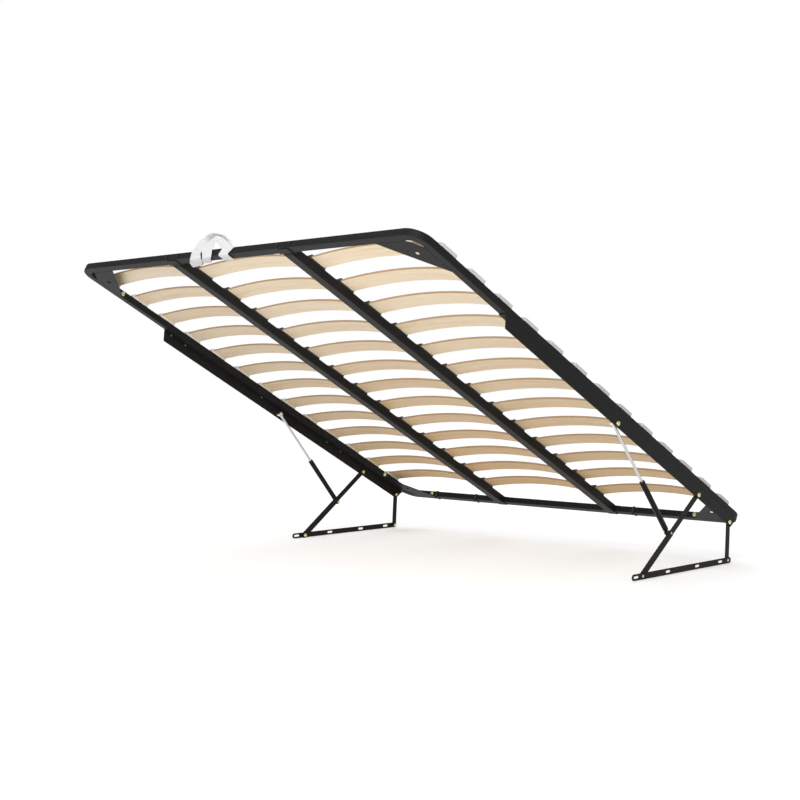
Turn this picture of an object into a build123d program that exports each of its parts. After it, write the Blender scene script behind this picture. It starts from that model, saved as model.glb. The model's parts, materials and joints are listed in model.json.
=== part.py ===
from build123d import *
import os
from math import cos, hypot, radians, sin, sqrt

# Lift mechanism of a storage bed, opened. A slatted platform hangs on two four-bar hinges, one at
# each side, and two gas struts push it up. Millimetres. The origin lies midway between the pivots
# of the two long arms on the base plates. +X is right as seen from the foot, +Y is toward the head
# and +Z is up. Right-hand pieces are drawn, and left-hand ones are their mirror images.

# Four-bar hinge in side view
OPEN_TILT = 28.5            # platform angle when open, degrees
LONG_ARM = 435.0            # base pivot to rail pivot
SHORT_ARM = 142.0
BASE_SPAN = 554.0           # between the two base pivots
RAIL_SPAN = 241.0           # between the two rail pivots
STRUT_REACH = 567.0         # long arm's rail pivot to the strut's upper pivot, toward the foot
STRUT_FOOT = 224.0          # base pivot to the strut's lower pivot, along the long arm

# Platform, measured from its head edge (s), from its top face (u) and across (x)
WIDTH = 1755.0
LENGTH = 2015.0
TUBE_WIDE = 30.0
TUBE_TALL = 25.0
WALL = 1.5
CORNER_RADIUS = 65.0        # outside of the bent corners
RAIL_PIVOT_S = 329.0        # long arm's pivot
RAIL_PIVOT_U = -54.0
HEAD_SEAM = 256.0           # side rail joints, from the head edge and from the foot edge
FOOT_SEAM = 237.0
SEAM_GAP = 0.5
SEAM_TO_BOLT = 40.0
SLEEVE_LENGTH = 130.0
SLEEVE_PLAY = 0.5
INNER_RAIL_X = 293.0
INNER_RAIL_WIDE = 40.0
INNER_RAIL_TALL = 30.0
END_PLATE_THICK = 3.0
END_PLATE_WIDE = 84.0
END_TAB_WIDE = 46.0
END_TAB_FROM_EDGE = 4.0     # from the platform's edge to the tab under the tube
END_PLATE_DROP = 1.0
END_SCREW_SPREAD = 30.0

# Slats
SLAT_ROWS = 13
SLAT_FIRST = 127.0
SLAT_PITCH = 143.0
SLAT_WIDE = 66.0
SLAT_THICK = 8.0
SLAT_CROWN = 28.0
SLAT_SEAT = 1.5             # underside of the slat's ends above the rails
HOLDER_WALL = 2.5
HOLDER_TALL = 12.0
HOLDER_LENGTH = 30.0
HOLDER_END_WALL = 2.0
JOINER_RISE = 4.0           # how much the joiner's roof rises from the middle wall outward

# Lift rail, an angle bar under each side rail
LIFT_THICK = 3.0
LIFT_BOTTOM_U = -67.0
LIFT_HEAD_TOP_S = 50.0
LIFT_HEAD_BOTTOM_S = 72.0
LIFT_FOOT_TOP_S = 1570.0
LIFT_FOOT_BOTTOM_S = 1552.0
LIFT_HOLE_R = 2.0
LIFT_HOLES_U = -31.0
LIFT_HOLES_S = (490.0, 583.0, 1006.0, 1453.0, 1530.0)

# Corner plates, measured inward from the platform's two outer faces
PLATE_THICK = 2.5
PLATE_ALONG_END = 192.0
PLATE_ALONG_SIDE = 203.0
PLATE_EDGE_MIDDLE = (114.0, 115.0)
PLATE_CORNER_CUT = 45.0     # straight cut that leaves a gap at the bent corner
PLATE_HOLE = 14.0
PLATE_HOLE_PLACE = (80.0, 97.0)

# Arms and base plates
BASE_THICK = 3.0
BASE_TALL = 22.0
BASE_FRONT = -64.0
BASE_BACK = 573.0
BASE_SLOT_LENGTH = 30.0
BASE_SLOT_WIDE = 8.5
BASE_SLOTS_Y = (-40.0, 154.5, 343.5, 500.5)
ARM_THICK = 5.0
ARM_WIDE = 24.0
ARM_UPPER_WIDE = 20.0
SHORT_ARM_WIDE = 22.0
SIDE_GAP = 0.5              # between the arms and the plates they swing beside

# Pivots
PIVOT_R = 5.0
RUNNING_PLAY = 0.05
THREAD_R = 4.0
NUT_FLATS = 13.0
NUT_THICK = 6.5
NUT_GAP = 0.3
THREAD_PROUD = 1.5          # how far a thread shows past its nut
HEAD_R = 8.5
HEAD_TALL = 4.5
DOME_ROUND = 0.8            # edge radius of a button head as a share of its height
SOCKET_SHARE = 0.35         # its socket's half width as a share of its radius
CUT = 1.0                   # how far a cutting body runs past the face that it cuts

# Gas struts
STRUT_X = 856.0
STRUT_TUBE_R = 10.0
STRUT_BORE_R = 8.5
STRUT_TUBE_END = 247.0      # lower pivot to the mouth of the tube
STRUT_EYE_R = 9.0
STRUT_EYE_THICK = 12.0
STRUT_NECK_R = 5.5
STRUT_NECK_END = 15.0       # from the pivot
STRUT_FLOOR = 5.0
ROD_R = 5.0
ROD_INSIDE = 34.0
GLAND_LENGTH = 14.0
PISTON_LENGTH = 12.0
PISTON_PLAY = 0.1
LIP_LENGTH = 3.0            # the tube's mouth is rolled in
LIP_DEPTH = 1.0
FLOOR_CHAMFER = 2.0
PISTON_FROM_END = 1.0
COLLAR_R = 7.0
STRUT_PIN_R = 4.0
STRUT_THREAD_R = 3.0
STRUT_NUT_FLATS = 11.0
STRUT_NUT_THICK = 5.0

# Small screws and bolts of the frame
FRAME_BOLT_R = 4.0
FRAME_BOLT_HEAD_R = 8.5
FRAME_BOLT_HEAD_TALL = 4.0
FRAME_BOLT_LENGTH = 14.0
HEAD_TUBE_BOLTS_X = (-705.0, 684.0)
END_SCREW_R = 3.0
END_SCREW_HEAD_R = 5.5
END_SCREW_HEAD_TALL = 2.5
END_SCREW_PROUD = 1.0

# Straps round the head tube
TIE_PLACES_X = (-676.0, -440.0, 400.0)
TIE_WIDE = 9.0
TIE_THICK = 2.0
TIE_BLOCK = 7.0

# Pull strap of flat webbing under the foot tube
STRAP_WIDE = 44.0
STRAP_THICK = 2.5
STRAP_LEFT_X = -156.0
STRAP_RIGHT_X = 4.0
STRAP_REACH = 45.0          # how far its tabs stand out past the foot tube
STRAP_BULGE = 20.0          # how far the arch stands outside the middle of each tab
STRAP_RISE = 56.0

HALF = WIDTH / 2
PLATE_IN = HALF - LIFT_THICK
ARM_OUT = PLATE_IN - SIDE_GAP
ARM_IN = ARM_OUT - ARM_THICK
NUT_OUT = ARM_IN - NUT_GAP
SIDE_INNER = HALF - TUBE_WIDE
RAIL_PIVOT_2_S = RAIL_PIVOT_S - RAIL_SPAN
STRUT_PIVOT_S = RAIL_PIVOT_S + STRUT_REACH


def circles_meet(first, first_r, second, second_r):
    """Upper crossing of two circles in the side view, as (y, z)."""
    dy = second[0] - first[0]
    dz = second[1] - first[1]
    apart = hypot(dy, dz)
    along = (first_r ** 2 - second_r ** 2 + apart ** 2) / (2 * apart)
    aside = sqrt(first_r ** 2 - along ** 2)
    return (
        first[0] + (along * dy - aside * dz) / apart,
        first[1] + (along * dz + aside * dy) / apart,
    )


# Pivots in the open pose, as (y, z)
TO_HEAD = (cos(radians(OPEN_TILT)), -sin(radians(OPEN_TILT)))
BASE_FRONT_PIVOT = (0.0, 0.0)
BASE_BACK_PIVOT = (BASE_SPAN, 0.0)
SHIFTED_BACK = (BASE_SPAN - RAIL_SPAN * TO_HEAD[0], -RAIL_SPAN * TO_HEAD[1])
LONG_TOP = circles_meet(BASE_FRONT_PIVOT, LONG_ARM, SHIFTED_BACK, SHORT_ARM)
SHORT_TOP = (LONG_TOP[0] + RAIL_SPAN * TO_HEAD[0], LONG_TOP[1] + RAIL_SPAN * TO_HEAD[1])
STRUT_TOP = (LONG_TOP[0] - STRUT_REACH * TO_HEAD[0], LONG_TOP[1] - STRUT_REACH * TO_HEAD[1])
STRUT_LOW = (LONG_TOP[0] * STRUT_FOOT / LONG_ARM, LONG_TOP[1] * STRUT_FOOT / LONG_ARM)
STRUT_LENGTH = hypot(STRUT_TOP[0] - STRUT_LOW[0], STRUT_TOP[1] - STRUT_LOW[1])

# The platform is drawn level, its head edge at y = 0 and its top face at z = 0, then set in place
UP = (-TO_HEAD[1], TO_HEAD[0])
HEAD_EDGE_Y = LONG_TOP[0] + RAIL_PIVOT_S * TO_HEAD[0] - RAIL_PIVOT_U * UP[0]
HEAD_EDGE_Z = LONG_TOP[1] + RAIL_PIVOT_S * TO_HEAD[1] - RAIL_PIVOT_U * UP[1]
PLATFORM = Location((0, HEAD_EDGE_Y, HEAD_EDGE_Z), (-OPEN_TILT, 0, 0))

nodes = {}


def add(name, solids, place=Location()):
    """Keep one node: a solid, or a list of separate solids."""
    group = solids if isinstance(solids, list) else [solids]
    nodes[name] = [place * solid for solid in group]


def mirrored(solid):
    return mirror(solid, about=Plane.YZ)


def add_pair(name, solids, place=Location()):
    """Keep a right-hand piece and its mirror image as two nodes."""
    group = solids if isinstance(solids, list) else [solids]
    add(name + "_right", group, place)
    add(name + "_left", [mirrored(solid) for solid in group], place)


def both_sides(solids):
    return solids + [mirrored(solid) for solid in solids]


def block(x, y, z):
    """Box between two limits on each axis."""
    middle = ((x[0] + x[1]) / 2, (y[0] + y[1]) / 2, (z[0] + z[1]) / 2)
    return Pos(*middle) * Box(x[1] - x[0], y[1] - y[0], z[1] - z[0])


def disc_x(y, z, radius, x_from, x_to):
    """Round bar along X between two stations."""
    return extrude(Plane.YZ.offset(x_from) * (Pos(y, z) * Circle(radius)), x_to - x_from)


def side_plate(profile, x_from, x_to):
    """Side-view profile, drawn in (y, z), as a plate between two stations on X."""
    return extrude(Plane.YZ.offset(x_from) * profile, x_to - x_from)


def bar_profile(start, end, wide):
    """Flat bar with round ends about two pivots."""
    middle = ((start[0] + end[0]) / 2, (start[1] + end[1]) / 2)
    return SlotCenterPoint(middle, end, wide)


def nut_x(y, z, flats, x_from, thick, bore):
    """Hexagon nut along -X from a station, its free face chamfered, open for its bolt."""
    hexagon = Pos(y, z) * RegularPolygon(flats / 2, 6, major_radius=False)
    nut = extrude(Plane.YZ.offset(x_from) * hexagon, -thick)
    toward_middle = Plane((x_from, y, z), x_dir=(0, 1, 0), z_dir=(-1, 0, 0))
    nut = nut & toward_middle * Solid.make_cone(flats / 2 + thick, flats / 2, thick)
    if bore:
        nut -= disc_x(y, z, bore, x_from - thick, x_from)
    return nut


def dome_x(y, z, radius, x_from, tall):
    """Button head that stands out along +X from a station, with a hexagon socket."""
    head = disc_x(y, z, radius, x_from, x_from + tall)
    rim = head.faces().sort_by(Axis.X)[-1].edges()
    head = fillet(rim, tall * DOME_ROUND)
    socket = Pos(y, z) * RegularPolygon(radius * SOCKET_SHARE, 6, major_radius=False)
    return head - extrude(Plane.YZ.offset(x_from + tall / 2) * socket, tall)


def base_plates():
    middle = (BASE_FRONT + BASE_BACK) / 2
    profile = Pos(middle, 0) * SlotOverall(BASE_BACK - BASE_FRONT, BASE_TALL)
    for y in BASE_SLOTS_Y:
        profile -= Pos(y, 0) * SlotOverall(BASE_SLOT_LENGTH, BASE_SLOT_WIDE)
    for y in (0, BASE_SPAN):
        profile -= Pos(y, 0) * Circle(PIVOT_R)
    add_pair("base_plate", side_plate(profile, HALF - BASE_THICK, HALF))
    studs = []
    nuts = []
    for y in (0, BASE_SPAN):
        stud = disc_x(y, 0, PIVOT_R, NUT_OUT, HALF)
        studs.append(stud + disc_x(y, 0, THREAD_R, NUT_OUT - NUT_THICK - THREAD_PROUD, NUT_OUT))
        nuts.append(nut_x(y, 0, NUT_FLATS, NUT_OUT, NUT_THICK, THREAD_R))
    add("base_pivot_studs", both_sides(studs))
    add("base_pivot_nuts", both_sides(nuts))


def arms():
    long_bar = bar_profile(BASE_FRONT_PIVOT, STRUT_LOW, ARM_WIDE)
    long_bar += bar_profile(BASE_FRONT_PIVOT, LONG_TOP, ARM_UPPER_WIDE)
    long_bar -= Circle(PIVOT_R + RUNNING_PLAY)
    long_bar -= Pos(*LONG_TOP) * Circle(PIVOT_R + RUNNING_PLAY)
    long_bar -= Pos(*STRUT_LOW) * Circle(STRUT_PIN_R)
    add_pair("long_arm", side_plate(long_bar, ARM_IN, ARM_OUT))
    short_bar = bar_profile(BASE_BACK_PIVOT, SHORT_TOP, SHORT_ARM_WIDE)
    short_bar -= Pos(*BASE_BACK_PIVOT) * Circle(PIVOT_R + RUNNING_PLAY)
    short_bar -= Pos(*SHORT_TOP) * Circle(PIVOT_R)
    add_pair("short_arm", side_plate(short_bar, ARM_IN, ARM_OUT))
    # The short arm's upper pivot is parted where the arm meets the rail
    nut = nut_x(*SHORT_TOP, NUT_FLATS, ARM_IN, NUT_THICK, None)
    end = disc_x(*SHORT_TOP, THREAD_R, ARM_IN - NUT_THICK - THREAD_PROUD, ARM_IN - NUT_THICK)
    add_pair("short_arm_nut", nut + end + disc_x(*SHORT_TOP, PIVOT_R, ARM_IN, ARM_OUT))
    # The strut's lower pin is riveted in the long arm, with a collar that holds the eye off it
    eye_out = STRUT_X + STRUT_EYE_THICK / 2 + NUT_GAP
    eye_in = STRUT_X - STRUT_EYE_THICK / 2 - NUT_GAP
    pin = disc_x(*STRUT_LOW, STRUT_PIN_R, eye_in, ARM_OUT)
    pin += disc_x(*STRUT_LOW, COLLAR_R, eye_out, ARM_IN)
    pin += disc_x(*STRUT_LOW, STRUT_THREAD_R, eye_in - STRUT_NUT_THICK - THREAD_PROUD, eye_in)
    nut = nut_x(*STRUT_LOW, STRUT_NUT_FLATS, eye_in, STRUT_NUT_THICK, STRUT_THREAD_R)
    add_pair("strut_foot_pin", [pin, nut])


def strut_eye(bore):
    """Eye about the pivot at the origin, its neck along +Z and its pin along X."""
    half = STRUT_EYE_THICK / 2
    eye = extrude(Plane.YZ.offset(-half) * Circle(STRUT_EYE_R), STRUT_EYE_THICK)
    eye += Pos(0, 0, STRUT_NECK_END / 2) * Cylinder(STRUT_NECK_R, STRUT_NECK_END)
    return eye - extrude(Plane.YZ.offset(-half) * Circle(bore), STRUT_EYE_THICK)


def struts():
    axis = (0, STRUT_TOP[0] - STRUT_LOW[0], STRUT_TOP[1] - STRUT_LOW[1])
    low = Plane((STRUT_X, *STRUT_LOW), x_dir=(1, 0, 0), z_dir=axis)
    top = Plane((STRUT_X, *STRUT_TOP), x_dir=(1, 0, 0), z_dir=tuple(-part for part in axis))
    floor_top = STRUT_NECK_END + STRUT_FLOOR
    rim = STRUT_TUBE_END
    half_profile = Polyline(
        (0, STRUT_NECK_END),
        (STRUT_TUBE_R - FLOOR_CHAMFER, STRUT_NECK_END),
        (STRUT_TUBE_R, STRUT_NECK_END + FLOOR_CHAMFER),
        (STRUT_TUBE_R, rim - LIP_LENGTH),
        (STRUT_TUBE_R - LIP_DEPTH, rim),
        (STRUT_BORE_R, rim),
        (STRUT_BORE_R, floor_top),
        (0, floor_top),
        close=True,
    )
    tube = revolve(make_face(Plane.XZ * half_profile), Axis.Z)
    add_pair("strut_tube", low * tube)
    add_pair("strut_foot_eye", low * strut_eye(STRUT_PIN_R + RUNNING_PLAY))
    gland = Pos(0, 0, rim - GLAND_LENGTH / 2) * Cylinder(STRUT_BORE_R, GLAND_LENGTH)
    gland -= Pos(0, 0, rim - GLAND_LENGTH / 2) * Cylinder(ROD_R + RUNNING_PLAY, GLAND_LENGTH)
    add_pair("strut_gland", low * gland)
    rod_low = rim - ROD_INSIDE
    rod_high = STRUT_LENGTH - STRUT_NECK_END
    rod = Pos(0, 0, (rod_low + rod_high) / 2) * Cylinder(ROD_R, rod_high - rod_low)
    add_pair("strut_rod", low * rod)
    piston_middle = rod_low + PISTON_LENGTH / 2 + PISTON_FROM_END
    piston = Cylinder(STRUT_BORE_R - PISTON_PLAY, PISTON_LENGTH) - Cylinder(ROD_R, PISTON_LENGTH)
    add_pair("strut_piston", low * (Pos(0, 0, piston_middle) * piston))
    add_pair("strut_head_eye", top * strut_eye(STRUT_PIN_R))
    # The strut's upper pivot is parted where the eye meets the rail's stud
    eye_out = STRUT_X + STRUT_EYE_THICK / 2
    eye_in = STRUT_X - STRUT_EYE_THICK / 2
    nut = nut_x(*STRUT_TOP, STRUT_NUT_FLATS, eye_in, STRUT_NUT_THICK, None)
    nut += disc_x(*STRUT_TOP, STRUT_THREAD_R, eye_in - STRUT_NUT_THICK - THREAD_PROUD, eye_in)
    add_pair("strut_head_nut", nut + disc_x(*STRUT_TOP, STRUT_PIN_R, eye_in, eye_out))


def outer_ring(inset):
    """Rounded rectangle of the platform's outline, drawn in from its outer faces."""
    outline = RectangleRounded(WIDTH - 2 * inset, LENGTH - 2 * inset, CORNER_RADIUS - inset)
    return Pos(0, -LENGTH / 2) * outline


def frame_tubes():
    """Four lengths of one rectangular tube, the end ones bent at the corners."""
    ring = outer_ring(0) - outer_ring(TUBE_WIDE)
    hollow = outer_ring(WALL) - outer_ring(TUBE_WIDE - WALL)
    tube = extrude(ring, -TUBE_TALL)
    tube -= Pos(0, 0, -WALL) * extrude(hollow, -(TUBE_TALL - 2 * WALL))
    mid_height = -TUBE_TALL / 2
    foot_seam = LENGTH - FOOT_SEAM
    bolts_s = (HEAD_SEAM - SEAM_TO_BOLT, foot_seam + SEAM_TO_BOLT)
    for s in bolts_s:
        drill = disc_x(-s, mid_height, FRAME_BOLT_R, SIDE_INNER - CUT, SIDE_INNER + WALL + CUT)
        tube = tube - drill - mirrored(drill)
    for x in HEAD_TUBE_BOLTS_X:
        tube -= bar_y(x, mid_height, FRAME_BOLT_R, TUBE_WIDE - WALL - CUT, TUBE_WIDE + CUT)
    for x, s_from, s_to in end_screws():
        tube -= bar_y(x, mid_height, END_SCREW_R, s_from, s_to)
    wide = (-WIDTH, WIDTH)
    tall = (-TUBE_TALL - CUT, CUT)
    head_end = (-HEAD_SEAM + SEAM_GAP / 2, CUT)
    foot_end = (-LENGTH - CUT, -foot_seam - SEAM_GAP / 2)
    add("head_tube", tube & block(wide, head_end, tall), PLATFORM)
    add("foot_tube", tube & block(wide, foot_end, tall), PLATFORM)
    straight = (-foot_seam + SEAM_GAP / 2, -HEAD_SEAM - SEAM_GAP / 2)
    add_pair("side_rail", tube & block((0, WIDTH), straight, tall), PLATFORM)
    sleeves = []
    bolts = []
    inner = SIDE_INNER + WALL + SLEEVE_PLAY
    outer = HALF - WALL - SLEEVE_PLAY
    height = (-TUBE_TALL + WALL + SLEEVE_PLAY, -WALL - SLEEVE_PLAY)
    for seam, bolt_s in zip((HEAD_SEAM, foot_seam), bolts_s):
        length = (-seam - SLEEVE_LENGTH / 2, -seam + SLEEVE_LENGTH / 2)
        sleeve = block((inner, outer), length, height)
        thread = disc_x(-bolt_s, mid_height, FRAME_BOLT_R, SIDE_INNER, SIDE_INNER + FRAME_BOLT_LENGTH)
        sleeves.append(sleeve - thread)
        head = mirrored(dome_x(-bolt_s, mid_height, FRAME_BOLT_HEAD_R, -SIDE_INNER, FRAME_BOLT_HEAD_TALL))
        bolts.append(thread + head)
    add("rail_sleeves", both_sides(sleeves), PLATFORM)
    bolts = both_sides(bolts)
    head = dome_x(0, 0, FRAME_BOLT_HEAD_R, 0, FRAME_BOLT_HEAD_TALL)
    for x in HEAD_TUBE_BOLTS_X:
        shank = bar_y(x, mid_height, FRAME_BOLT_R, TUBE_WIDE - FRAME_BOLT_LENGTH, TUBE_WIDE)
        turn = Location((x, -TUBE_WIDE, mid_height), (0, 0, -90))
        bolts.append(shank + turn * head)
    add("frame_bolts", bolts, PLATFORM)


def bar_y(x, z, radius, s_from, s_to):
    """Round bar along the platform's length between two distances from its head edge."""
    length = s_to - s_from
    return Location((x, -(s_from + s_to) / 2, z), (90, 0, 0)) * Cylinder(radius, length)


def end_screws():
    """Screws through the end tubes into the inner rails' end plates, as (x, from, to)."""
    inside = TUBE_WIDE + END_PLATE_THICK + END_SCREW_PROUD
    places = []
    for rail_x in (-INNER_RAIL_X, INNER_RAIL_X):
        for x in (rail_x - END_SCREW_SPREAD, rail_x + END_SCREW_SPREAD):
            places.append((x, 0, inside))
            places.append((x, LENGTH - inside, LENGTH))
    return places


def inner_rails():
    start = TUBE_WIDE + END_PLATE_THICK
    x_out = (INNER_RAIL_X - INNER_RAIL_WIDE / 2, INNER_RAIL_X + INNER_RAIL_WIDE / 2)
    x_in = (x_out[0] + WALL, x_out[1] - WALL)
    length = (-LENGTH + start, -start)
    rail = block(x_out, length, (-INNER_RAIL_TALL, 0))
    rail -= block(x_in, length, (-INNER_RAIL_TALL + WALL, -WALL))
    add_pair("inner_rail", rail, PLATFORM)
    plate_x = (INNER_RAIL_X - END_PLATE_WIDE / 2, INNER_RAIL_X + END_PLATE_WIDE / 2)
    tab_x = (INNER_RAIL_X - END_TAB_WIDE / 2, INNER_RAIL_X + END_TAB_WIDE / 2)
    under = -TUBE_TALL - END_PLATE_THICK
    bracket = block(plate_x, (-start, -TUBE_WIDE), (-TUBE_TALL, -END_PLATE_DROP))
    bracket += block(tab_x, (-start, -END_TAB_FROM_EDGE), (under, -TUBE_TALL))
    for x in (INNER_RAIL_X - END_SCREW_SPREAD, INNER_RAIL_X + END_SCREW_SPREAD):
        bracket -= bar_y(x, -TUBE_TALL / 2, END_SCREW_R, 0, start + CUT)
    at_head = both_sides([bracket])
    flip = Location((0, -LENGTH, 0), (0, 0, 180))
    add("rail_end_brackets", at_head + [flip * solid for solid in at_head], PLATFORM)
    screws = []
    for x, s_from, s_to in end_screws():
        at_foot = s_from > LENGTH / 2
        shank = bar_y(x, -TUBE_TALL / 2, END_SCREW_R, s_from, s_to)
        head_from = LENGTH if at_foot else -END_SCREW_HEAD_TALL
        head_to = head_from + END_SCREW_HEAD_TALL
        screws.append(shank + bar_y(x, -TUBE_TALL / 2, END_SCREW_HEAD_R, head_from, head_to))
    add("rail_end_screws", screws, PLATFORM)


def lift_rails():
    outline = Polyline(
        (-LIFT_HEAD_TOP_S, -TUBE_TALL),
        (-LIFT_HEAD_BOTTOM_S, LIFT_BOTTOM_U),
        (-LIFT_FOOT_BOTTOM_S, LIFT_BOTTOM_U),
        (-LIFT_FOOT_TOP_S, -TUBE_TALL),
        close=True,
    )
    profile = make_face(outline)
    for s in LIFT_HOLES_S:
        profile -= Pos(-s, LIFT_HOLES_U) * Circle(LIFT_HOLE_R)
    for s, radius in (
        (RAIL_PIVOT_S, PIVOT_R),
        (RAIL_PIVOT_2_S, PIVOT_R),
        (STRUT_PIVOT_S, STRUT_PIN_R),
    ):
        profile -= Pos(-s, RAIL_PIVOT_U) * Circle(radius)
    rail = side_plate(profile, PLATE_IN, HALF)
    rail += block(
        (SIDE_INNER, HALF),
        (-LIFT_FOOT_TOP_S, -LIFT_HEAD_TOP_S),
        (-TUBE_TALL - LIFT_THICK, -TUBE_TALL),
    )
    add_pair("lift_rail", rail, PLATFORM)


def rail_pivots():
    """Bolts in the lift rails: whole at the long arm, parted at the short arm and the strut."""
    bolt = disc_x(*LONG_TOP, PIVOT_R, NUT_OUT, HALF) + dome_x(*LONG_TOP, HEAD_R, HALF, HEAD_TALL)
    bolt += disc_x(*LONG_TOP, THREAD_R, NUT_OUT - NUT_THICK - THREAD_PROUD, NUT_OUT)
    nut = nut_x(*LONG_TOP, NUT_FLATS, NUT_OUT, NUT_THICK, THREAD_R)
    add("long_arm_bolts", both_sides([bolt, nut]))
    bolt = disc_x(*SHORT_TOP, PIVOT_R, PLATE_IN, HALF) + dome_x(*SHORT_TOP, HEAD_R, HALF, HEAD_TALL)
    add("short_arm_bolts", both_sides([bolt]))
    collar_in = STRUT_X + STRUT_EYE_THICK / 2 + NUT_GAP
    stud = disc_x(*STRUT_TOP, STRUT_PIN_R, PLATE_IN, HALF)
    stud += dome_x(*STRUT_TOP, HEAD_R, HALF, HEAD_TALL)
    stud += disc_x(*STRUT_TOP, COLLAR_R, collar_in, PLATE_IN)
    add("strut_head_studs", both_sides([stud]))


def corner_plates():
    """Plates welded in the four corners, level with the underside of the tubes."""
    cut = TUBE_WIDE + PLATE_CORNER_CUT
    outline = Line((TUBE_WIDE, PLATE_ALONG_SIDE), (TUBE_WIDE, cut))
    outline += Line((TUBE_WIDE, cut), (cut, TUBE_WIDE))
    outline += Line((cut, TUBE_WIDE), (PLATE_ALONG_END, TUBE_WIDE))
    outline += ThreePointArc(
        (PLATE_ALONG_END, TUBE_WIDE), PLATE_EDGE_MIDDLE, (TUBE_WIDE, PLATE_ALONG_SIDE)
    )
    plate = make_face(outline) - Pos(*PLATE_HOLE_PLACE) * Rectangle(PLATE_HOLE, PLATE_HOLE)
    foot_left = Pos(-HALF, -LENGTH, -TUBE_TALL) * extrude(plate, PLATE_THICK)
    foot = both_sides([foot_left])
    head = [mirror(solid, about=Plane.XZ.offset(LENGTH / 2)) for solid in foot]
    add("foot_corner_plates", foot, PLATFORM)
    add("head_corner_plates", head, PLATFORM)


def slat_band(x_from, x_to):
    """One arched slat's section between two stations across the bed."""
    middle = (x_from + x_to) / 2
    low = SLAT_SEAT
    high = SLAT_SEAT + SLAT_THICK
    under = ThreePointArc((x_from, low), (middle, low + SLAT_CROWN), (x_to, low))
    over = ThreePointArc((x_from, high), (middle, high + SLAT_CROWN), (x_to, high))
    ends = Line((x_from, low), (x_from, high)) + Line((x_to, low), (x_to, high))
    return make_face(under + over + ends)


def along_rail(section, start, length):
    """A section drawn in (x, z) as a piece that runs along the platform from a distance s."""
    return extrude(Plane.XZ.offset(start) * section, length)


def slats():
    inner_end = INNER_RAIL_X + HOLDER_END_WALL
    centre_end = INNER_RAIL_X - HOLDER_END_WALL
    outer_end = HALF - HOLDER_END_WALL
    bands = (
        slat_band(-outer_end, -inner_end),
        slat_band(-centre_end, centre_end),
        slat_band(inner_end, outer_end),
    )
    cap_outline = Polyline(
        (HALF - HOLDER_LENGTH, 0),
        (HALF, 0),
        (HALF, HOLDER_TALL),
        (HALF - HOLDER_LENGTH, HOLDER_TALL + JOINER_RISE),
        close=True,
    )
    joiner_half = INNER_RAIL_WIDE / 2
    joiner_outline = Polyline(
        (INNER_RAIL_X - joiner_half, 0),
        (INNER_RAIL_X + joiner_half, 0),
        (INNER_RAIL_X + joiner_half, HOLDER_TALL + JOINER_RISE),
        (INNER_RAIL_X, HOLDER_TALL),
        (INNER_RAIL_X - joiner_half, HOLDER_TALL + JOINER_RISE),
        close=True,
    )
    caps = []
    joiners = []
    holder_wide = SLAT_WIDE + 2 * HOLDER_WALL
    for row in range(SLAT_ROWS):
        start = SLAT_FIRST + row * SLAT_PITCH
        rows = [along_rail(band, start, SLAT_WIDE) for band in bands]
        add(f"slat_row_{row + 1:02d}", rows, PLATFORM)
        cap = along_rail(make_face(cap_outline), start - HOLDER_WALL, holder_wide)
        caps.append(cap - rows[2])
        joiner = along_rail(make_face(joiner_outline), start - HOLDER_WALL, holder_wide)
        joiners.append(joiner - rows[1] - rows[2])
    add("slat_caps", both_sides(caps), PLATFORM)
    add("slat_joiners", both_sides(joiners), PLATFORM)


def head_ties():
    """Fastening ties drawn tight round the head tube, each with its small locking block."""
    ties = []
    for x in TIE_PLACES_X:
        span = (x - TIE_WIDE / 2, x + TIE_WIDE / 2)
        band = block(
            span,
            (-TUBE_WIDE - TIE_THICK, TIE_THICK),
            (-TUBE_TALL - TIE_THICK, TIE_THICK),
        )
        band -= block(span, (-TUBE_WIDE, 0), (-TUBE_TALL, 0))
        lock = (-TUBE_TALL - TIE_THICK - TIE_BLOCK, -TUBE_TALL - TIE_THICK)
        band += block(span, (-TUBE_WIDE, -TUBE_WIDE + TIE_BLOCK), lock)
        ties.append(band)
    add("head_ties", ties, PLATFORM)


def pull_strap():
    """Webbing handle: its two ends lie flat under the foot tube and its middle arches up."""
    half = STRAP_WIDE / 2
    under = (-TUBE_TALL - STRAP_THICK, -TUBE_TALL)
    edge = -LENGTH + TUBE_WIDE
    tip = -LENGTH - STRAP_REACH
    strap = None
    for x in (STRAP_LEFT_X, STRAP_RIGHT_X):
        tab = block((x - half, x + half), (tip, edge), under)
        strap = tab if strap is None else strap + tab
    left = STRAP_LEFT_X - STRAP_BULGE
    right = STRAP_RIGHT_X + STRAP_BULGE
    middle = (left + right) / 2
    outer = ThreePointArc((left, under[1]), (middle, STRAP_RISE), (right, under[1]))
    inner = ThreePointArc(
        (left + STRAP_THICK, under[1]),
        (middle, STRAP_RISE - STRAP_THICK),
        (right - STRAP_THICK, under[1]),
    )
    feet = Line((left, under[1]), (left + STRAP_THICK, under[1]))
    feet += Line((right - STRAP_THICK, under[1]), (right, under[1]))
    arch = along_rail(make_face(outer + inner + feet), -tip - STRAP_WIDE, STRAP_WIDE)
    add("pull_strap", strap + arch, PLATFORM)


base_plates()
arms()
struts()
frame_tubes()
inner_rails()
lift_rails()
rail_pivots()
corner_plates()
slats()
head_ties()
pull_strap()

os.makedirs("parts", exist_ok=True)
for name, solids in nodes.items():
    shape = solids[0] if len(solids) == 1 else Compound(children=solids)
    export_step(shape, f"parts/{name}.step")
print(len(nodes), "nodes")
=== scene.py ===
import json
import math

import bmesh
import bpy
from mathutils import Matrix, Vector

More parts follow.
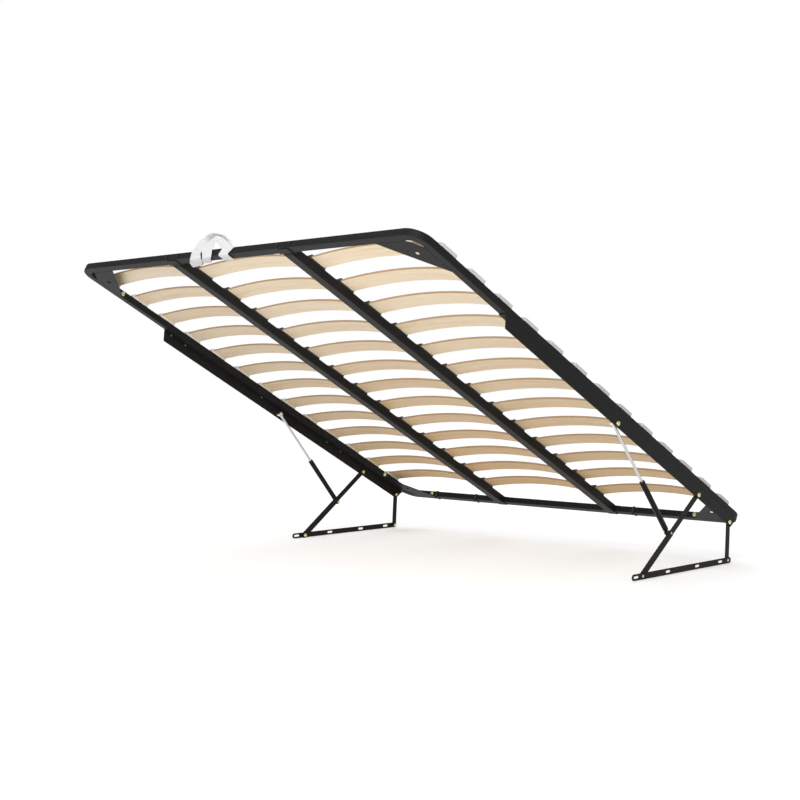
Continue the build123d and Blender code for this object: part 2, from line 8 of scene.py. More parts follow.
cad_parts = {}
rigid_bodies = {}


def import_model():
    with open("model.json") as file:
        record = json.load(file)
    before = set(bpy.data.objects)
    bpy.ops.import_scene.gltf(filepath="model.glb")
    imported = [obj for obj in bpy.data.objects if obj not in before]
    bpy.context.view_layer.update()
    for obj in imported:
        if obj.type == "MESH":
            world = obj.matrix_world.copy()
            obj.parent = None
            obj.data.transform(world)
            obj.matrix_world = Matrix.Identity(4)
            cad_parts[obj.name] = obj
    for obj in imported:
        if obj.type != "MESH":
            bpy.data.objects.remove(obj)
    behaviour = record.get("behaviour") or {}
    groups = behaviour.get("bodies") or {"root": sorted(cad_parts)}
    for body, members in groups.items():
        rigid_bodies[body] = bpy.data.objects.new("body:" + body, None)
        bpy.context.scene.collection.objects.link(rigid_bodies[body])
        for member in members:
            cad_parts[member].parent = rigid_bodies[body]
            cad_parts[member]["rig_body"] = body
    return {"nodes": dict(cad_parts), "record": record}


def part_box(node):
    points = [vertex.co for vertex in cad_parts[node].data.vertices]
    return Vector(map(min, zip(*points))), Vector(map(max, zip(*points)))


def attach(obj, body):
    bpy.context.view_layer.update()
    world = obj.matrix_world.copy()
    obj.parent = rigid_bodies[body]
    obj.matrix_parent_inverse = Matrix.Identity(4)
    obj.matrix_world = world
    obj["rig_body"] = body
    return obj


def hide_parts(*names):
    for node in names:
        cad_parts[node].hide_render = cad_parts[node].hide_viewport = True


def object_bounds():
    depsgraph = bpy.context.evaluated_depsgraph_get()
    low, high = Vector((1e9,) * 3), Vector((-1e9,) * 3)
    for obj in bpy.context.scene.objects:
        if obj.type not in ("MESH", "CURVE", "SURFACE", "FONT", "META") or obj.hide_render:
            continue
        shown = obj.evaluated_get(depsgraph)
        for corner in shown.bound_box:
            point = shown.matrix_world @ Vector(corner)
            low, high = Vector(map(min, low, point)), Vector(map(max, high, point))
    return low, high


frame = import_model()
cad_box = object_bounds()
NODES = frame["nodes"]

# Metres. The platform's own measures run from its head edge toward the foot (s), from its top
# face up (u) and across it (x).
RAIL_PIVOT_S = 0.329
RAIL_PIVOT_U = -0.054
TUBE_WIDE = 0.030
TUBE_TALL = 0.025
INNER_RAIL_X = 0.293
INNER_RAIL_TALL = 0.030

SLAT_WIDE = 0.066
SLAT_THICK = 0.008
SLAT_CROWN = 0.028
SLAT_SEAT = 0.0015
SLAT_EDGE = 0.0014
SLAT_STATIONS = 30
SLAT_PLIES = 6
HOLDER_END_WALL = 0.002

STRAP_THICK = 0.0022
RIB_PITCH = 0.0026
CORD_PITCH = 0.0021
# Left, right, near and far side of the box stitch, as x and as distance out from the foot tube.
STITCH_BOX = (-0.014, 0.016, -0.007, -0.026)
STITCH_UP = -0.0050
STITCH_PITCH = 0.0036
STITCH_LONG = 0.0030
STITCH_THICK = 0.0008

# Widths of rounded edges.
TUBE_ROUND = 0.0022
ARM_ROUND = 0.0008
SHEET_ROUND = 0.0006
PLATE_ROUND = 0.0005
GLAND_ROUND = 0.0004
BOLT_ROUND = 0.00035
SLAT_ROUND = 0.0026
CAP_ROUND = 0.0012
JOINER_ROUND = 0.0010
STRAP_ROUND = STRAP_THICK * 0.49

MERGE = 1e-5
FLAT = math.radians(1.0)
SHARP = math.radians(35.0)
SMOOTH = math.radians(50.0)

# The floor is whiter far away, where it meets the white surroundings. The light that it returns
# is warm below the head end, so that the slats there are as warm as in the photograph.
FLOOR_RADIUS = 40.0
FLOOR_DROP = 0.0005
FLOOR_SHOWN = 0.80
FLOOR_RETURN = 0.62
GLOW_NEAR, GLOW_FAR = 0.38, 0.69
NEAR, FAR = 1.6, 7.0
UNDER_HEAD = (0.0, 0.5, 0.0)
WARM_BOUNCE = (0.68, 0.44, 0.14, 1)
WARM_WITHIN, PLAIN_BEYOND = 0.5, 1.7

WORLD_LIGHT = 0.44
WORLD_SEEN = 1.0

# Name, place, aim, diameter and power of each lamp.
LAMPS = (
    ("key", (2.6, -3.4, 3.2), (0, 0, 0.5), 3.0, 90),
    ("back_soft", (-1.6, 2.6, 3.4), (0, 0, 0.6), 3.6, 70),
    ("under_fill", (0.9, -3.3, 0.35), (0, -0.6, 0.85), 1.8, 60),
)

# The photograph's view: place, turns in degrees, and lens and sensor in millimetres.
CAMERA_PLACE = (3.4776, -3.8335, 0.6790)
CAMERA_TURN = (90 - 0.929, 0.12, 44.48)
CAMERA_LENS = 60.04
CAMERA_SENSOR = 36.0
CAMERA_REACH = 200.0


def middle_of(node):
    low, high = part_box(node)
    return (low + high) / 2


def platform_matrix():
    """Level coordinates (x, -s, u) to the frame, from the platform's own pivots."""
    rail_pivot = middle_of("long_arm_bolts")
    strut_pivot = middle_of("strut_head_studs")
    to_foot = Vector((0, strut_pivot.y - rail_pivot.y, strut_pivot.z - rail_pivot.z)).normalized()
    up = Vector((0, to_foot.z, -to_foot.y))
    head_edge = Vector((0, rail_pivot.y, rail_pivot.z)) - RAIL_PIVOT_S * to_foot - RAIL_PIVOT_U * up
    turn = Matrix((Vector((1, 0, 0)), -to_foot, up)).transposed().to_4x4()
    return Matrix.Translation(head_edge) @ turn


PLATFORM = platform_matrix()
TO_LEVEL = PLATFORM.inverted()


def level_box(*names):
    """Lowest and highest corner of CAD nodes of the platform, as (x, -s, u)."""
    points = [TO_LEVEL @ v.co for name in names for v in NODES[name].data.vertices]
    low = Vector(min(p[i] for p in points) for i in range(3))
    high = Vector(max(p[i] for p in points) for i in range(3))
    return low, high


RAILS_LOW, RAILS_HIGH = level_box("side_rail_left", "side_rail_right", "foot_tube", "head_tube")
HALF = RAILS_HIGH.x
LENGTH = -RAILS_LOW.y


# Materials


class Shader:
    """A node material in the making, with short calls for the nodes that these finishes use."""

    def __init__(self, name):
        self.material = bpy.data.materials.new(name)
        self.material.use_nodes = True
        self.tree = self.material.node_tree
        self.surface = self.tree.nodes["Principled BSDF"]

    def node(self, kind, inputs=None, **settings):
        made = self.tree.nodes.new(kind)
        for key, value in settings.items():
            setattr(made, key, value)
        for key, value in (inputs or {}).items():
            self.put(made.inputs[key], value)
        return made

    def put(self, socket, value):
        if isinstance(value, bpy.types.NodeSocket):
            self.tree.links.new(value, socket)
        else:
            socket.default_value = value

    def set(self, **values):
        for key, value in values.items():
            self.put(self.surface.inputs[key.replace("_", " ")], value)

    def attribute(self, name):
        return self.node("ShaderNodeAttribute", attribute_name=name).outputs["Fac"]

    def coordinates(self):
        return self.node("ShaderNodeTexCoord").outputs["Object"]

    def stretch(self, vector, scale):
        mapping = self.node("ShaderNodeMapping", {"Vector": vector, "Scale": scale})
        return mapping.outputs["Vector"]

    def place(self, scale=(1, 1, 1)):
        """Object coordinates, stretched."""
        return self.stretch(self.coordinates(), scale)

    def vector_math(self, operation, first, second=(0, 0, 0)):
        return self.node("ShaderNodeVectorMath", {0: first, 1: second}, operation=operation).outputs

    def noise(self, vector, scale, detail=2.0, rough=0.5):
        made = self.node(
            "ShaderNodeTexNoise",
            {"Vector": vector, "Scale": scale, "Detail": detail, "Roughness": rough},
        )
        return made.outputs["Fac"]

    def ramp(self, value, stops):
        """Colours along a value, as pairs of place and colour."""
        made = self.node("ShaderNodeValToRGB", {"Fac": value})
        elements = made.color_ramp.elements
        while len(elements) < len(stops):
            elements.new(1.0)
        for element, (place, colour) in zip(elements, stops):
            element.position = place
            element.color = colour if len(colour) == 4 else (*colour, 1)
        return made.outputs["Color"]

    def span(self, value, low, high, low_in=0.0, high_in=1.0):
        """A value's range from low_in to high_in, brought to the range from low to high."""
        inputs = {"From Min": low_in, "From Max": high_in, "To Min": low, "To Max": high}
        return self.node("ShaderNodeMapRange", {"Value": value, **inputs}).outputs["Result"]

    def math(self, operation, first, second=0.0):
        made = self.node("ShaderNodeMath", operation=operation)
        self.put(made.inputs[0], first)
        self.put(made.inputs[1], second)
        return made.outputs["Value"]

    def mix(self, share, first, second, blend="MIX"):
        made = self.node("ShaderNodeMix", data_type="RGBA", blend_type=blend)
        self.put(made.inputs["Factor"], share)
        self.put(made.inputs["A"], first)
        self.put(made.inputs["B"], second)
        return made.outputs["Result"]

    def bump(self, height, strength, distance, normal=None):
        inputs = {"Height": height, "Strength": strength, "Distance": distance}
        if normal is not None:
            inputs["Normal"] = normal
        return self.node("ShaderNodeBump", inputs).outputs["Normal"]


def grey(value, warmth=0.0):
    return (value * (1 + warmth), value, value * (1 - warmth), 1)


def powder_coat(name, level, rough):
    """Baked paint on steel: fine orange peel, patches of handling gloss and thin dust."""
    s = Shader(name)
    place = s.place()
    patches = s.noise(place, 9, 4, 0.6)
    dust = s.noise(place, 55, 6, 0.7)
    tone = s.ramp(patches, [(0.3, grey(level * 0.82)), (0.7, grey(level * 1.18))])
    dusty = s.mix(s.span(dust, 0.0, 0.16, 0.48, 0.8), tone, grey(level * 2.4, 0.03))
    peel = s.noise(place, 420, 2)
    s.set(Base_Color=dusty, Roughness=s.span(patches, rough - 0.07, rough + 0.1), Metallic=0.0)
    s.set(Normal=s.bump(peel, 0.22, 0.0006), Specular_IOR_Level=0.15)
    return s.material


def birch():
    """Bent slat of glued veneers: grain along it, paler and darker slats, plies on its edges."""
    s = Shader("birch_slat")
    tone = s.attribute("slat_tone")
    depth = s.attribute("slat_depth")
    shift = {"X": s.math("MULTIPLY", tone, 7.3), "Y": tone, "Z": tone}
    offset = s.node("ShaderNodeCombineXYZ", shift).outputs["Vector"]
    shifted = s.vector_math("ADD", s.coordinates(), offset)["Vector"]
    figure = s.noise(s.stretch(shifted, (2.2, 46, 20)), 1.0, 5, 0.62)
    pores = s.noise(s.stretch(shifted, (9, 620, 300)), 1.0, 3, 0.6)
    wood = s.ramp(
        figure,
        [
            (0.28, (0.78, 0.62, 0.43)),
            (0.46, (0.86, 0.725, 0.54)),
            (0.60, (0.89, 0.775, 0.60)),
            (0.80, (0.82, 0.675, 0.485)),
        ],
    )
    streaked = s.mix(s.span(pores, 0.0, 0.34, 0.50, 0.78), wood, (0.66, 0.46, 0.29, 1))
    toned = s.mix(s.span(tone, 0.0, 0.30), streaked, (0.95, 0.86, 0.73, 1), "MULTIPLY")
    plies = s.math("SINE", s.math("MULTIPLY", depth, 2 * math.pi * SLAT_PLIES))
    ply = s.ramp(
        plies,
        [
            (0.0, (0.30, 0.175, 0.085)),
            (0.45, (0.50, 0.33, 0.18)),
            (1.0, (0.60, 0.42, 0.25)),
        ],
    )
    s.set(Base_Color=s.mix(s.attribute("slat_edge"), toned, ply))
    s.set(Roughness=s.span(figure, 0.42, 0.56), Coat_Weight=0.12, Coat_Roughness=0.35)
    s.set(Normal=s.bump(pores, 0.25, 0.0006))
    return s.material


def moulded(name, colour, rough):
    """Injection-moulded plastic with a fine spark-eroded texture."""
    s = Shader(name)
    place = s.place()
    cloud = s.noise(place, 30, 3)
    grain = s.noise(place, 1500, 2)
    darker = tuple(c * 0.93 for c in colour[:3]) + (1,)
    s.set(Base_Color=s.mix(s.span(cloud, 0, 1, 0.35, 0.65), darker, colour))
    s.set(Roughness=s.span(cloud, rough - 0.04, rough + 0.06), Normal=s.bump(grain, 0.12, 0.0004))
    return s.material


def plated(name, first, second, rough, metal=1.0):
    """Zinc plating: clouded colour, slightly dull, with fine scratches."""
    s = Shader(name)
    place = s.place()
    cloud = s.noise(place, 120, 4, 0.6)
    fine = s.noise(place, 900, 3)
    s.set(Base_Color=s.mix(s.span(cloud, 0, 1, 0.35, 0.65), first, second))
    s.set(Roughness=s.span(fine, rough - 0.06, rough + 0.12, 0.3, 0.7), Metallic=metal)
    s.set(Normal=s.bump(fine, 0.12, 0.0003))
    return s.material


def polished_rod():
    """Ground and chromed piston rod with the faintest turning marks."""
    s = Shader("rod_chrome")
    rings = s.noise(s.place((500, 500, 500)), 1.0, 2)
    s.set(Base_Color=(0.66, 0.66, 0.67, 1), Metallic=0.9)
    s.set(Roughness=s.span(rings, 0.13, 0.24), Normal=s.bump(rings, 0.04, 0.0002))
    return s.material


def woven():
    """White webbing: ribs across the band, cords along it, painted shade in the grooves between
    them, and a little soil.
    """
    s = Shader("woven_webbing")
    uv = s.node("ShaderNodeUVMap").outputs["UV"]
    parts = s.node("ShaderNodeSeparateXYZ", {"Vector": uv})
    along, side = parts.outputs["X"], parts.outputs["Y"]
    ribs = s.math("ABSOLUTE", s.math("SINE", s.math("MULTIPLY", along, math.pi / RIB_PITCH)))
    cords = s.math("ABSOLUTE", s.math("SINE", s.math("MULTIPLY", side, math.pi / CORD_PITCH)))
    weave = s.math("MULTIPLY", s.math("POWER", ribs, 0.7), s.span(cords, 0.55, 1.0))
    soil = s.noise(s.place(), 26, 4, 0.6)
    # The darker grey where the weave is low is painted shade in the grooves between ribs and cords;
    # the paler grey is the thread's own colour.
    thread = s.mix(weave, (0.50, 0.50, 0.50, 1), (0.77, 0.77, 0.775, 1))
    soiled_and_groove_shaded = s.mix(s.span(soil, 0.0, 0.22, 0.5, 0.85), thread, (0.58, 0.58, 0.56, 1))
    s.set(Base_Color=soiled_and_groove_shaded, Roughness=0.85, Sheen_Weight=0.25, Sheen_Roughness=0.5)
    s.set(Normal=s.bump(weave, 0.7, 0.0007))
    return s.material


def rubber():
    s = Shader("seal_rubber")
    grain = s.noise(s.place(), 900, 3)
    s.set(Base_Color=s.mix(grain, grey(0.018), grey(0.035)), Roughness=0.62)
    s.set(Normal=s.bump(grain, 0.2, 0.0003))
    return s.material


FINISHES = {
    "black_paint": powder_coat("charcoal_powder_coat", 0.011, 0.48),
    "tube_paint": powder_coat("gloss_black_enamel", 0.007, 0.28),
    "zinc_yellow": plated("yellow_zinc", (0.68, 0.66, 0.27, 1), (0.88, 0.88, 0.52, 1), 0.34),
    "rod_steel": polished_rod(),
    "zinc_white": plated("bright_zinc", (0.72, 0.72, 0.70, 1), (0.86, 0.86, 0.85, 1), 0.32),
    "birch": birch(),
    "white_plastic": moulded("white_polymer", (0.76, 0.76, 0.755, 1), 0.42),
    "black_plastic": moulded("black_polymer", (0.028, 0.028, 0.030, 1), 0.46),
    "webbing": woven(),
    "thread": moulded("polyester_thread", (0.66, 0.66, 0.65, 1), 0.6),
    "seal": rubber(),
    "dark_screw": plated(
        "black_oxide", (0.030, 0.030, 0.032, 1), (0.055, 0.055, 0.058, 1), 0.36, 0.8
    ),
}
SLOT_OF = {}
for subpart in frame["record"]["subparts"]:
    for node in subpart.get("nodes", [subpart.get("node")]):
        SLOT_OF[node] = subpart["material_slot"]


# Pieces made from the CAD nodes


def finish_mesh(name, bm, matrix, body, slot, finish=None):
    """One piece from a bmesh: placed, riding on its body and painted."""
    mesh = bpy.data.meshes.new(name)
    bmesh.ops.recalc_face_normals(bm, faces=bm.faces)
    bm.to_mesh(mesh)
    bm.free()
    for polygon in mesh.polygons:
        polygon.use_smooth = True
    mesh.set_sharp_from_angle(angle=SMOOTH)
    piece = bpy.data.objects.new(name, mesh)
    bpy.context.scene.collection.objects.link(piece)
    piece.matrix_world = matrix
    mesh.materials.append(FINISHES[finish or slot])
    weighted = piece.modifiers.new("even_shading", "WEIGHTED_NORMAL")
    weighted.keep_sharp = True
    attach(piece, body)
    return piece


def node_bmesh(node):
    """A CAD node's mesh with joined vertices and whole flat faces, level if on the platform."""
    source = NODES[node]
    on_platform = source["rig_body"] == "platform"
    bm = bmesh.new()
    bm.from_mesh(source.data)
    if on_platform:
        bm.transform(TO_LEVEL)
    bmesh.ops.remove_doubles(bm, verts=bm.verts, dist=MERGE)
    bmesh.ops.dissolve_limit(bm, angle_limit=FLAT, verts=bm.verts, edges=bm.edges)
    return bm, PLATFORM if on_platform else Matrix.Identity(4)


def softened(node, width, segments=2, chosen=None, finish=None):
    """A CAD node with its sharp edges rounded, which stands for the node."""
    bm, matrix = node_bmesh(node)
    sharp = [e for e in bm.edges if e.is_manifold and e.calc_face_angle() > SHARP]
    if chosen:
        sharp = [e for e in sharp if chosen(e)]
    bmesh.ops.bevel(
        bm,
        geom=sharp,
        offset=width,
        offset_type="OFFSET",
        segments=segments,
        profile=0.5,
        affect="EDGES",
        clamp_overlap=True,
    )
    body = NODES[node]["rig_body"]
    piece = finish_mesh(node + "_finished", bm, matrix, body, SLOT_OF[node], finish)
    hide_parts(node)


def runs_outside(low, high):
    """Picks a tube's long edges at two heights and passes over cuts at the seams of the frame."""
    beside = HALF - TUBE_WIDE - MERGE

    def test(edge):
        ends = [v.co for v in edge.verts]
        for height in (low, high):
            if all(abs(p.z - height) < 2 * MERGE for p in ends):
                faces = [f.normal for f in edge.link_faces]
                across = (ends[1] - ends[0]).normalized()
                cut = any(abs(n.y) > 0.9 and abs(n.dot(across)) < 0.1 for n in faces)
                at_side = all(abs(p.x) > beside for p in ends)
                at_seam = at_side and abs(ends[0].y - ends[1].y) < MERGE
                return not (cut and at_seam)
        return False

    return test


def make_frame():
    for node in ("head_tube", "foot_tube", "side_rail_left", "side_rail_right"):
        softened(node, TUBE_ROUND, 3, runs_outside(-TUBE_TALL, 0.0))
    for node in ("inner_rail_left", "inner_rail_right"):
        softened(node, TUBE_ROUND, 3, runs_outside(-INNER_RAIL_TALL, 0.0))
    for node in ("lift_rail_left", "lift_rail_right"):
        softened(node, SHEET_ROUND)
    for node in ("foot_corner_plates", "head_corner_plates", "rail_end_brackets"):
        softened(node, PLATE_ROUND)
    for node in ("frame_bolts", "long_arm_bolts", "short_arm_bolts", "strut_head_studs"):
        softened(node, BOLT_ROUND)
    softened("rail_end_screws", PLATE_ROUND)
    softened("head_ties", PLATE_ROUND)
    softened("rail_sleeves", SHEET_ROUND)


def make_linkage():
    for side in ("left", "right"):
        softened("base_plate_" + side, SHEET_ROUND)
        softened("long_arm_" + side, ARM_ROUND)
        softened("short_arm_" + side, ARM_ROUND)
        softened("short_arm_nut_" + side, BOLT_ROUND)
        softened("strut_foot_pin_" + side, BOLT_ROUND)
        softened("strut_tube_" + side, PLATE_ROUND, finish="tube_paint")
        softened("strut_foot_eye_" + side, ARM_ROUND)
        softened("strut_gland_" + side, GLAND_ROUND)
        softened("strut_rod_" + side, SHEET_ROUND)
        softened("strut_piston_" + side, GLAND_ROUND)
        softened("strut_head_eye_" + side, ARM_ROUND)
        softened("strut_head_nut_" + side, BOLT_ROUND)
    softened("base_pivot_studs", BOLT_ROUND)
    softened("base_pivot_nuts", BOLT_ROUND)


# Slats


def rounded_section(width, thick, radius, steps):
    """Closed section of a band: width along the first axis and thickness along the second."""
    points = []
    corners = ((1, 1, 0), (-1, 1, 90), (-1, -1, 180), (1, -1, 270))
    for sign_w, sign_t, start in corners:
        centre = (sign_w * (width / 2 - radius), sign_t * (thick / 2 - radius))
        for step in range(steps + 1):
            angle = math.radians(start + 90 * step / steps)
            across = centre[0] + radius * math.cos(angle)
            points.append((across, centre[1] + radius * math.sin(angle)))
    return points


def arch_height(x, x_from, x_to):
    """Height of a circular arc of the slat's crown over its chord."""
    half = (x_to - x_from) / 2
    radius = (half ** 2 + SLAT_CROWN ** 2) / (2 * SLAT_CROWN)
    away = x - (x_from + x_to) / 2
    return math.sqrt(radius ** 2 - away ** 2) - (radius - SLAT_CROWN)


def slat_bands():
    """Both ends, in x, of the three slats of a row."""
    inner = INNER_RAIL_X + HOLDER_END_WALL
    centre = INNER_RAIL_X - HOLDER_END_WALL
    outer = HALF - HOLDER_END_WALL
    return ((-outer, -inner), (-centre, centre), (inner, outer))


def scattered(row, band):
    """A fixed value from 0 to 1 that jumps from slat to slat."""
    return (math.sin(row * 12.9898 + band * 78.233) * 43758.5453) % 1.0


def make_slats():
    section = rounded_section(SLAT_WIDE, SLAT_THICK, SLAT_ROUND, 3)
    rows = sorted(n for n in NODES if n.startswith("slat_row"))
    for row, node in enumerate(rows):
        low, high = level_box(node)
        middle_y = (low.y + high.y) / 2
        bm = bmesh.new()
        tone = bm.verts.layers.float.new("slat_tone")
        depth = bm.verts.layers.float.new("slat_depth")
        edge = bm.verts.layers.float.new("slat_edge")
        for band, (x_from, x_to) in enumerate(slat_bands()):
            rings = []
            for station in range(SLAT_STATIONS + 1):
                x = x_from + (x_to - x_from) * station / SLAT_STATIONS
                lift = SLAT_SEAT + SLAT_THICK / 2 + arch_height(x, x_from, x_to)
                ring = []
                for across, up in section:
                    vert = bm.verts.new((x, middle_y + across, lift + up))
                    vert[tone] = scattered(row, band)
                    vert[depth] = up / SLAT_THICK + 0.5
                    vert[edge] = 1.0 if abs(across) > SLAT_WIDE / 2 - SLAT_EDGE else 0.0
                    ring.append(vert)
                rings.append(ring)
            for ring, after in zip(rings, rings[1:]):
                for i in range(len(ring)):
                    j = (i + 1) % len(ring)
                    bm.faces.new((ring[i], ring[j], after[j], after[i]))
            bm.faces.new(rings[0])
            bm.faces.new(rings[-1])
        piece = finish_mesh(node + "_finished", bm, PLATFORM, "platform", "birch")
        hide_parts(node)


def make_holders():
    softened("slat_caps", CAP_ROUND, 3)
    softened("slat_joiners", JOINER_ROUND)


# Pull strap


def strap_layers():
    """Both layers of the webbing, set on the photograph from the right tab to the left end.

    Each layer is a list of runs between creases, and each run a list of places on its inner and its
    outer edge as (x, out, up), with out and up measured from the foot tube's lower outer edge.
    """
    front = [
        [
            ((-0.022, -0.030, -0.0038), (0.024, -0.030, -0.0038)),
            ((-0.023, -0.001, -0.0038), (0.024, -0.002, -0.0038)),
        ],
        [
            ((-0.021, 0.0030, 0.001), (0.027, 0.0030, 0.000)),
            ((-0.014, 0.0036, 0.018), (0.040, 0.0036, 0.019)),
        ],
        [
            ((-0.016, 0.0050, 0.020), (0.039, 0.0046, 0.020)),
            ((-0.028, 0.015, 0.031), (0.030, 0.012, 0.028)),
            ((-0.036, 0.022, 0.038), (0.013, 0.025, 0.041)),
            ((-0.039, 0.024, 0.040), (-0.021, 0.035, 0.051)),
            ((-0.043, 0.022, 0.038), (-0.052, 0.030, 0.046)),
            ((-0.050, 0.015, 0.031), (-0.088, 0.020, 0.036)),
            ((-0.058, 0.010, 0.024), (-0.112, 0.011, 0.026)),
            ((-0.060, 0.008, 0.014), (-0.116, 0.008, 0.014)),
            ((-0.057, 0.006, 0.002), (-0.107, 0.006, 0.001)),
            ((-0.060, 0.001, -0.006), (-0.110, 0.000, -0.006)),
            ((-0.078, -0.014, -0.007), (-0.127, -0.014, -0.007)),
            ((-0.099, -0.031, -0.005), (-0.148, -0.032, -0.005)),
            ((-0.104, -0.035, 0.004), (-0.154, -0.036, 0.004)),
        ],
    ]
    back = [
        [
            ((-0.020, -0.030, -0.0014), (0.022, -0.030, -0.0014)),
            ((-0.021, -0.002, -0.0014), (0.022, -0.002, -0.0014)),
        ],
        [
            ((-0.019, 0.0012, 0.002), (0.026, 0.0012, 0.001)),
            ((-0.012, 0.0014, 0.020), (0.043, 0.0016, 0.022)),
        ],
        [
            ((-0.014, 0.0020, 0.023), (0.042, 0.0040, 0.024)),
            ((-0.030, 0.005, 0.039), (0.033, 0.020, 0.040)),
            ((-0.050, 0.007, 0.054), (0.008, 0.031, 0.053)),
            ((-0.066, 0.008, 0.061), (-0.040, 0.039, 0.061)),
            ((-0.084, 0.009, 0.055), (-0.073, 0.037, 0.059)),
            ((-0.100, 0.009, 0.043), (-0.102, 0.032, 0.054)),
            ((-0.112, 0.008, 0.031), (-0.135, 0.022, 0.044)),
            ((-0.120, 0.007, 0.021), (-0.161, 0.011, 0.032)),
            ((-0.122, 0.006, 0.010), (-0.172, 0.007, 0.018)),
            ((-0.115, 0.005, -0.002), (-0.169, 0.006, 0.000)),
            ((-0.116, 0.000, -0.0075), (-0.172, 0.002, -0.009)),
            ((-0.124, -0.015, -0.0100), (-0.188, -0.015, -0.013)),
            ((-0.147, -0.036, -0.0095), (-0.201, -0.038, -0.012)),
            ((-0.153, -0.041, 0.001), (-0.205, -0.044, -0.001)),
        ],
    ]
    return front, back


def smooth_line(points, steps):
    """Points along a smooth line through the given ones."""
    ends = [2 * points[0] - points[1], *points, 2 * points[-1] - points[-2]]
    line = []
    for a, b, c, d in zip(ends, ends[1:], ends[2:], ends[3:]):
        for step in range(steps):
            t = step / steps
            curved = (2 * a - 5 * b + 4 * c - d) * t ** 2 + (3 * b - a - 3 * c + d) * t ** 3
            line.append((2 * b + (c - a) * t + curved) / 2)
    return line + [points[-1]]


def strap_place(place):
    """A place measured from the foot tube's lower outer edge, in level coordinates."""
    x, out, up = place
    return Vector((x, -LENGTH - out, up - TUBE_TALL))


def band_stations(runs):
    """Middle, across and normal direction and width at each station of a band."""
    inner, outer = [], []
    for run in runs:
        steps = 5 if len(run) > 2 else 3
        inner += smooth_line([strap_place(pair[0]) for pair in run], steps)
        outer += smooth_line([strap_place(pair[1]) for pair in run], steps)
    middles = [(a + b) / 2 for a, b in zip(inner, outer)]
    stations = []
    for index, middle in enumerate(middles):
        heading = middles[min(index + 1, len(middles) - 1)] - middles[max(index - 1, 0)]
        across = outer[index] - inner[index]
        normal = across.cross(heading).normalized()
        stations.append((middle, across.normalized(), normal, across.length))
    return stations


def sweep_band(bm, weave, stations):
    """A webbing band with round edges through the stations, with its length and width as UV."""
    rings, along = [], 0.0
    for index, (middle, across, normal, width) in enumerate(stations):
        if index:
            along += (middle - stations[index - 1][0]).length
        ring = []
        for side, up in rounded_section(width, STRAP_THICK, STRAP_ROUND, 2):
            ring.append((bm.verts.new(middle + across * side + normal * up), (along, side)))
        rings.append(ring)
    for ring, after in zip(rings, rings[1:]):
        for i in range(len(ring)):
            j = (i + 1) % len(ring)
            corners = (ring[i], ring[j], after[j], after[i])
            face = bm.faces.new([vert for vert, place in corners])
            for loop, (vert, place) in zip(face.loops, corners):
                loop[weave].uv = place
    for ring in (rings[0], rings[-1]):
        bm.faces.new([vert for vert, place in ring])


def make_stitches():
    """Box stitch with a cross that holds both layers together on the right tab."""
    left, right, near, far = STITCH_BOX
    corners = [(left, near), (right, near), (right, far), (left, far)]
    rows = list(zip(corners, corners[1:] + corners[:1]))
    rows += [(corners[0], corners[2]), (corners[1], corners[3])]
    shape = Matrix.Diagonal((STITCH_LONG / 2, STITCH_THICK / 2, STITCH_THICK / 2, 1))
    bm = bmesh.new()
    for start, end in rows:
        first = strap_place((*start, STITCH_UP))
        run = strap_place((*end, STITCH_UP)) - first
        count = round(run.length / STITCH_PITCH)
        turn = run.to_track_quat("X", "Z").to_matrix().to_4x4()
        for index in range(count):
            place = Matrix.Translation(first + run * (index + 0.5) / count) @ turn @ shape
            bmesh.ops.create_uvsphere(bm, u_segments=8, v_segments=6, radius=1.0, matrix=place)
    finish_mesh("pull_strap_stitches", bm, PLATFORM, "platform", "webbing", "thread")


def make_strap():
    bm = bmesh.new()
    weave = bm.loops.layers.uv.new("weave")
    for layer in strap_layers():
        sweep_band(bm, weave, band_stations(layer))
    piece = finish_mesh("pull_strap_webbing", bm, PLATFORM, "platform", "webbing")
    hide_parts("pull_strap")


# Floor, light and camera


def pale_floor():
    """A white floor that shows the object's soft shadow and returns light of its own."""
    s = Shader("studio_floor")
    path = s.node("ShaderNodeLightPath").outputs
    through = s.math("MAXIMUM", path["Is Glossy Ray"], path["Is Transmission Ray"])
    seen = s.math("MAXIMUM", path["Is Camera Ray"], through)
    place = s.coordinates()
    from_head = s.vector_math("DISTANCE", place, UNDER_HEAD)["Value"]
    plain = s.span(from_head, 0.0, 1.0, WARM_WITHIN, PLAIN_BEYOND)
    returned = s.mix(plain, WARM_BOUNCE, grey(FLOOR_RETURN))
    diffuse = s.node("ShaderNodeBsdfDiffuse", {"Color": returned})
    shown = s.node("ShaderNodeBsdfDiffuse", {"Color": grey(FLOOR_SHOWN)})
    away = s.vector_math("LENGTH", place)["Value"]
    strength = s.span(away, GLOW_NEAR, GLOW_FAR, NEAR, FAR)
    glow = s.node("ShaderNodeEmission", {"Color": grey(1.0), "Strength": strength})
    both = s.node("ShaderNodeAddShader", {0: shown.outputs["BSDF"], 1: glow.outputs["Emission"]})
    shaders = {0: seen, 1: diffuse.outputs["BSDF"], 2: both.outputs["Shader"]}
    mixed = s.node("ShaderNodeMixShader", shaders)
    output = s.tree.nodes["Material Output"]
    s.tree.links.new(mixed.outputs["Shader"], output.inputs["Surface"])
    s.tree.nodes.remove(s.surface)
    return s.material


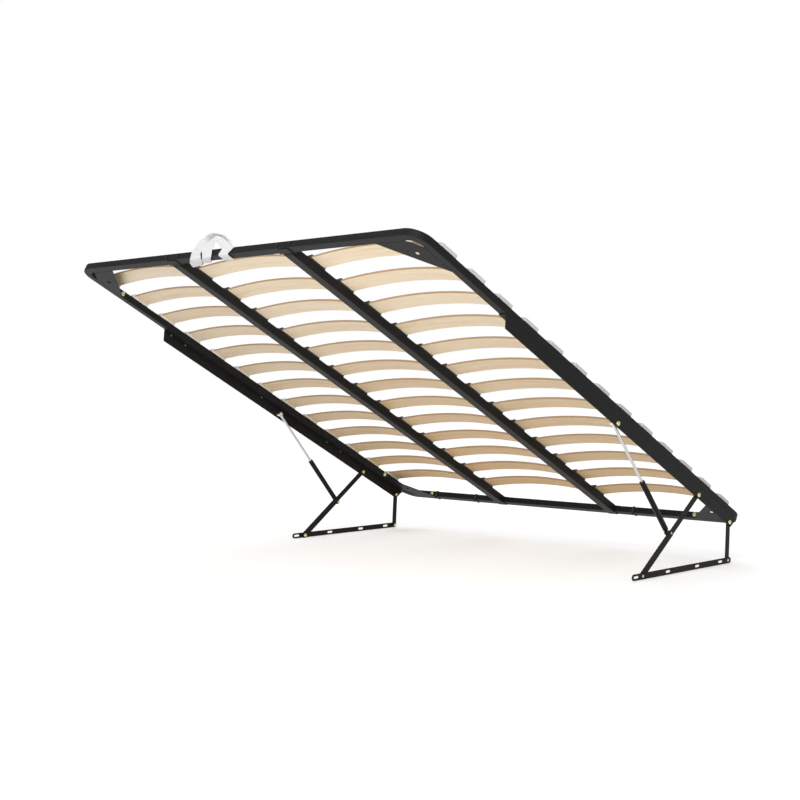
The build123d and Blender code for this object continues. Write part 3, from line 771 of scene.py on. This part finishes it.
def make_floor():
    bm = bmesh.new()
    bmesh.ops.create_circle(bm, cap_ends=True, radius=FLOOR_RADIUS, segments=96)
    mesh = bpy.data.meshes.new("studio_floor")
    bm.to_mesh(mesh)
    bm.free()
    floor = bpy.data.objects.new("studio_floor", mesh)
    bpy.context.scene.collection.objects.link(floor)
    floor.location.z = cad_box[0].z - FLOOR_DROP
    mesh.materials.append(pale_floor())


def make_world():
    """White surroundings: full white to the camera and softer as light."""
    world = bpy.data.worlds.new("studio")
    bpy.context.scene.world = world
    world.use_nodes = True
    tree = world.node_tree
    background = tree.nodes["Background"]
    background.inputs["Color"].default_value = (1, 1, 1, 1)
    background.inputs["Strength"].default_value = WORLD_LIGHT
    white = tree.nodes.new("ShaderNodeBackground")
    white.inputs["Color"].default_value = (1, 1, 1, 1)
    white.inputs["Strength"].default_value = WORLD_SEEN
    path = tree.nodes.new("ShaderNodeLightPath")
    mixed = tree.nodes.new("ShaderNodeMixShader")
    tree.links.new(path.outputs["Is Camera Ray"], mixed.inputs[0])
    tree.links.new(background.outputs["Background"], mixed.inputs[1])
    tree.links.new(white.outputs["Background"], mixed.inputs[2])
    tree.links.new(mixed.outputs["Shader"], tree.nodes["World Output"].inputs["Surface"])


def make_lamp(name, place, aim, size, power):
    data = bpy.data.lights.new(name, "AREA")
    data.shape = "DISK"
    data.size = size
    data.energy = power
    lamp = bpy.data.objects.new(name, data)
    bpy.context.scene.collection.objects.link(lamp)
    lamp.location = place
    lamp.rotation_euler = (Vector(aim) - Vector(place)).to_track_quat("-Z", "Y").to_euler()


def make_camera():
    data = bpy.data.cameras.new("photo_view")
    data.sensor_width = CAMERA_SENSOR
    data.lens = CAMERA_LENS
    data.clip_end = CAMERA_REACH
    camera = bpy.data.objects.new("photo_view", data)
    bpy.context.scene.collection.objects.link(camera)
    camera.location = CAMERA_PLACE
    camera.rotation_euler = [math.radians(angle) for angle in CAMERA_TURN]
    bpy.context.scene.camera = camera


make_frame()
make_linkage()
make_slats()
make_holders()
make_strap()
make_stitches()
make_floor()
make_world()
for lamp in LAMPS:
    make_lamp(*lamp)
make_camera()
bpy.context.scene.view_settings.view_transform = "Standard"
